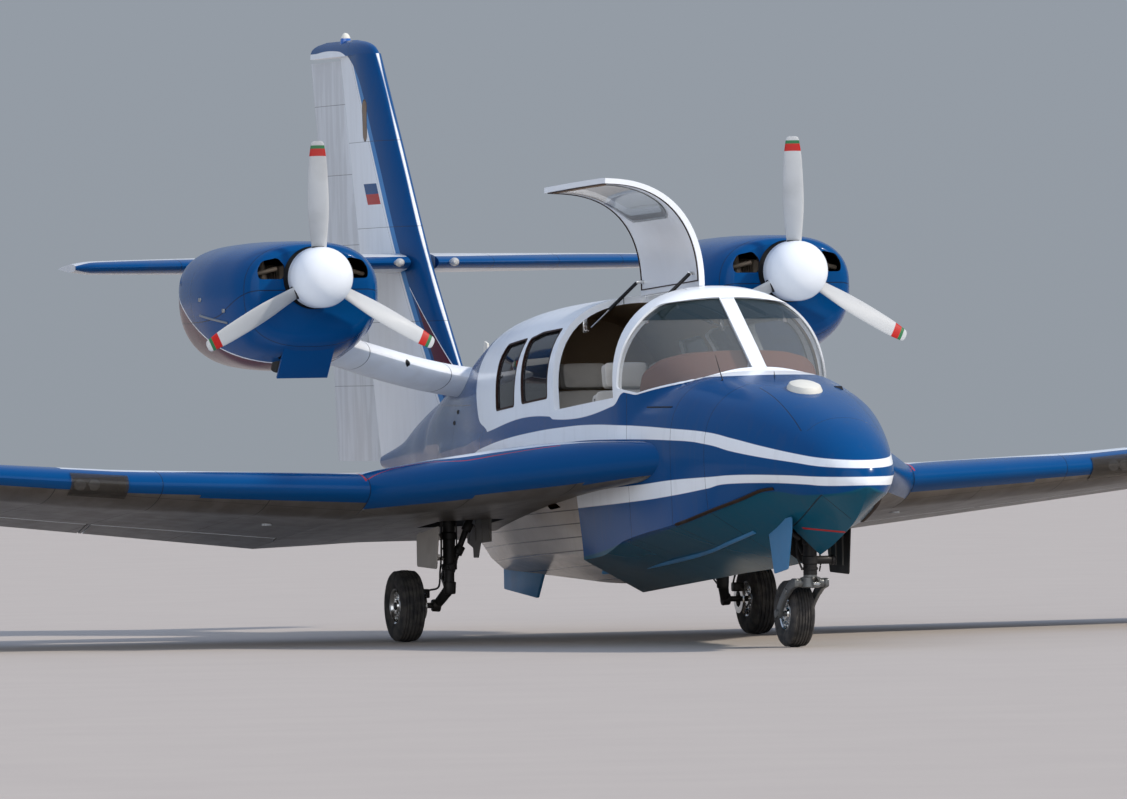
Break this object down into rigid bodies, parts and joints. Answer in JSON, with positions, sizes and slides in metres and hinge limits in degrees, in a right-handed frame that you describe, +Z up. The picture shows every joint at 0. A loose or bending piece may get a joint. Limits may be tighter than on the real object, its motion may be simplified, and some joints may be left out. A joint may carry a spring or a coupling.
{
  "type": "light twin-engine amphibious flying boat",
  "caption": "Low-wing amphibious flying boat on its wheels, with stepped hull, pylon-mounted engines, gull-wing doors and an all-moving tailplane.",
  "frame": {"origin": "on the ground under the middle of the aircraft's box", "axes": "+Z up, nose towards -Y, +X to port"},
  "size_m": [12.72, 10.65, 3.81],
  "materials": {
    "blue_paint": "gloss",
    "white_paint": "gloss",
    "grey_paint": "satin",
    "clear_glass": "polished",
    "tinted_glass": "polished",
    "engine_metal": "matt",
    "tyre_rubber": "matt",
    "alloy": "satin",
    "gear_metal": "satin",
    "seat_leather": "matt",
    "panel_plastic": "matt",
    "strut_black": "satin"
  },
  "bodies": {
    "airframe": {"hull": "blue_paint", "nose_deck": "blue_paint", "cabin_frame": "white_paint", "aft_fuselage": "blue_paint", "windscreen_port": "clear_glass", "windscreen_starboard": "clear_glass", "rear_glazing_port": "tinted_glass", "rear_glazing_starboard": "tinted_glass", "centre_wing_port": "blue_paint", "centre_wing_starboard": "blue_paint", "outer_wing_port": "blue_paint", "outer_wing_starboard": "blue_paint", "cowling_port": "blue_paint", "cowling_starboard": "blue_paint", "engine_port": "engine_metal", "engine_starboard": "engine_metal", "pylon_port": "white_paint", "pylon_starboard": "white_paint", "fin": "white_paint", "main_leg_port": "gear_metal", "main_leg_starboard": "gear_metal", "bay_door_port": "grey_paint", "bay_door_starboard": "grey_paint", "nose_leg": "gear_metal", "nose_door_port": "blue_paint", "nose_door_starboard": "blue_paint", "ventral_plate": "blue_paint", "seats_front": "seat_leather", "seats_middle": "seat_leather", "seats_rear": "seat_leather", "instrument_panel": "panel_plastic"},
    "flap_port": {"flap_port": "white_paint"},
    "flap_starboard": {"flap_starboard": "white_paint"},
    "aileron_port": {"aileron_port": "white_paint"},
    "aileron_starboard": {"aileron_starboard": "white_paint"},
    "propeller_port": {"propeller_port": "white_paint"},
    "propeller_starboard": {"propeller_starboard": "white_paint"},
    "rudder": {"rudder": "white_paint"},
    "tailplane": {"tailplane": "white_paint"},
    "main_wheel_port": {"main_tyre_port": "tyre_rubber", "main_rim_port": "alloy"},
    "main_wheel_starboard": {"main_tyre_starboard": "tyre_rubber", "main_rim_starboard": "alloy"},
    "nose_fork": {"nose_fork": "alloy"},
    "nose_wheel": {"nose_tyre": "tyre_rubber", "nose_rim": "alloy"},
    "door_port": {"door_port": "white_paint", "door_glass_port": "tinted_glass"},
    "door_starboard": {"door_starboard": "white_paint", "door_glass_starboard": "tinted_glass"},
    "strut_cylinders_port": {"strut_cylinder_front_port": "strut_black", "strut_cylinder_rear_port": "strut_black"},
    "strut_rods_port": {"strut_rod_front_port": "alloy", "strut_rod_rear_port": "alloy"},
    "strut_cylinders_starboard": {"strut_cylinder_front_starboard": "strut_black", "strut_cylinder_rear_starboard": "strut_black"},
    "strut_rods_starboard": {"strut_rod_front_starboard": "alloy", "strut_rod_rear_starboard": "alloy"}
  },
  "joints": [
    {"name": "propeller_port_spin", "type": "hinge", "parent": "airframe", "child": "propeller_port", "pos_m": [1.52, 0.275, 2.21], "axis": [0, 1, 0], "continuous": true},
    {"name": "main_wheel_port_spin", "type": "hinge", "parent": "airframe", "child": "main_wheel_port", "pos_m": [1.12, -0.065, 0.2175], "axis": [1, 0, 0], "continuous": true},
    {"name": "flap_port_hinge", "type": "hinge", "parent": "airframe", "child": "flap_port", "pos_m": [2.29, 0.6604, 0.72452], "axis": [0.9794, 0.1813, 0.089], "range_deg": [-30, 0]},
    {"name": "aileron_port_hinge", "type": "hinge", "parent": "airframe", "child": "aileron_port", "pos_m": [4.475, 1.0564, 0.93607], "axis": [0.9796, 0.1761, 0.0969], "range_deg": [-20, 20]},
    {"name": "door_port_hinge", "type": "hinge", "parent": "airframe", "child": "door_port", "pos_m": [0.05, -2.635, 2.103], "axis": [0, 0.9991, -0.0425], "range_deg": [-93, 0]},
    {"name": "propeller_starboard_spin", "type": "hinge", "parent": "airframe", "child": "propeller_starboard", "pos_m": [-1.52, 0.275, 2.21], "axis": [0, 1, 0], "continuous": true},
    {"name": "main_wheel_starboard_spin", "type": "hinge", "parent": "airframe", "child": "main_wheel_starboard", "pos_m": [-1.12, -0.065, 0.2175], "axis": [1, 0, 0], "continuous": true},
    {"name": "flap_starboard_hinge", "type": "hinge", "parent": "airframe", "child": "flap_starboard", "pos_m": [-2.29, 0.6604, 0.72452], "axis": [0.9794, -0.1813, -0.089], "range_deg": [-30, 0]},
    {"name": "aileron_starboard_hinge", "type": "hinge", "parent": "airframe", "child": "aileron_starboard", "pos_m": [-4.475, 1.0564, 0.93607], "axis": [0.9796, -0.1761, -0.0969], "range_deg": [-20, 20]},
    {"name": "door_starboard_hinge", "type": "hinge", "parent": "airframe", "child": "door_starboard", "pos_m": [-0.05, -2.635, 2.103], "axis": [0, 0.9991, -0.0425], "range_deg": [-93, 0]},
    {"name": "nose_steering", "type": "hinge", "parent": "airframe", "child": "nose_fork", "pos_m": [0, -4.305, 0.38], "axis": [0, 0, 1], "range_deg": [-30, 30]},
    {"name": "nose_wheel_spin", "type": "hinge", "parent": "nose_fork", "child": "nose_wheel", "pos_m": [0, -4.015, 0.195], "axis": [1, 0, 0], "continuous": true},
    {"name": "rudder_hinge", "type": "hinge", "parent": "airframe", "child": "rudder", "pos_m": [0, 3.875, 1.07], "axis": [0, 0.2853, 0.9584], "range_deg": [-25, 25]},
    {"name": "tailplane_pivot", "type": "hinge", "parent": "airframe", "child": "tailplane", "pos_m": [0, 3.575, 2.32], "axis": [1, 0, 0], "range_deg": [-12, 6]},
    {"name": "strut_port_swing", "type": "hinge", "parent": "door_port", "child": "strut_cylinders_port", "pos_m": [0.128, -2.58, 2.03266], "axis": [0, 0.9991, -0.0425], "range_deg": [0, 110.89]},
    {"name": "strut_starboard_swing", "type": "hinge", "parent": "door_starboard", "child": "strut_cylinders_starboard", "pos_m": [-0.11376, -2.57366, 2.18192], "axis": [0, 0.9991, -0.0425], "range_deg": [0, 110.89]},
    {"name": "strut_port_stroke", "type": "slide", "parent": "strut_cylinders_port", "child": "strut_rods_port", "axis": [0.9129, 0, -0.4081], "range_m": [0, 0.09446]},
    {"name": "strut_starboard_stroke", "type": "slide", "parent": "strut_cylinders_starboard", "child": "strut_rods_starboard", "axis": [-0.7436, -0.0149, -0.6684], "range_m": [-0.09446, 0]}
  ],
  "couplings": [
    {"joint": "strut_port_swing", "follows": "door_port_hinge", "ratio": -1.1923},
    {"joint": "strut_starboard_swing", "follows": "door_starboard_hinge", "ratio": -1.1923},
    {"joint": "strut_port_stroke", "follows": "door_port_hinge", "m_per_rad": -0.058194},
    {"joint": "strut_starboard_stroke", "follows": "door_starboard_hinge", "m_per_rad": 0.058194},
    {"joint": "flap_starboard_hinge", "follows": "flap_port_hinge", "ratio": 1},
    {"joint": "aileron_starboard_hinge", "follows": "aileron_port_hinge", "ratio": -1}
  ]
}
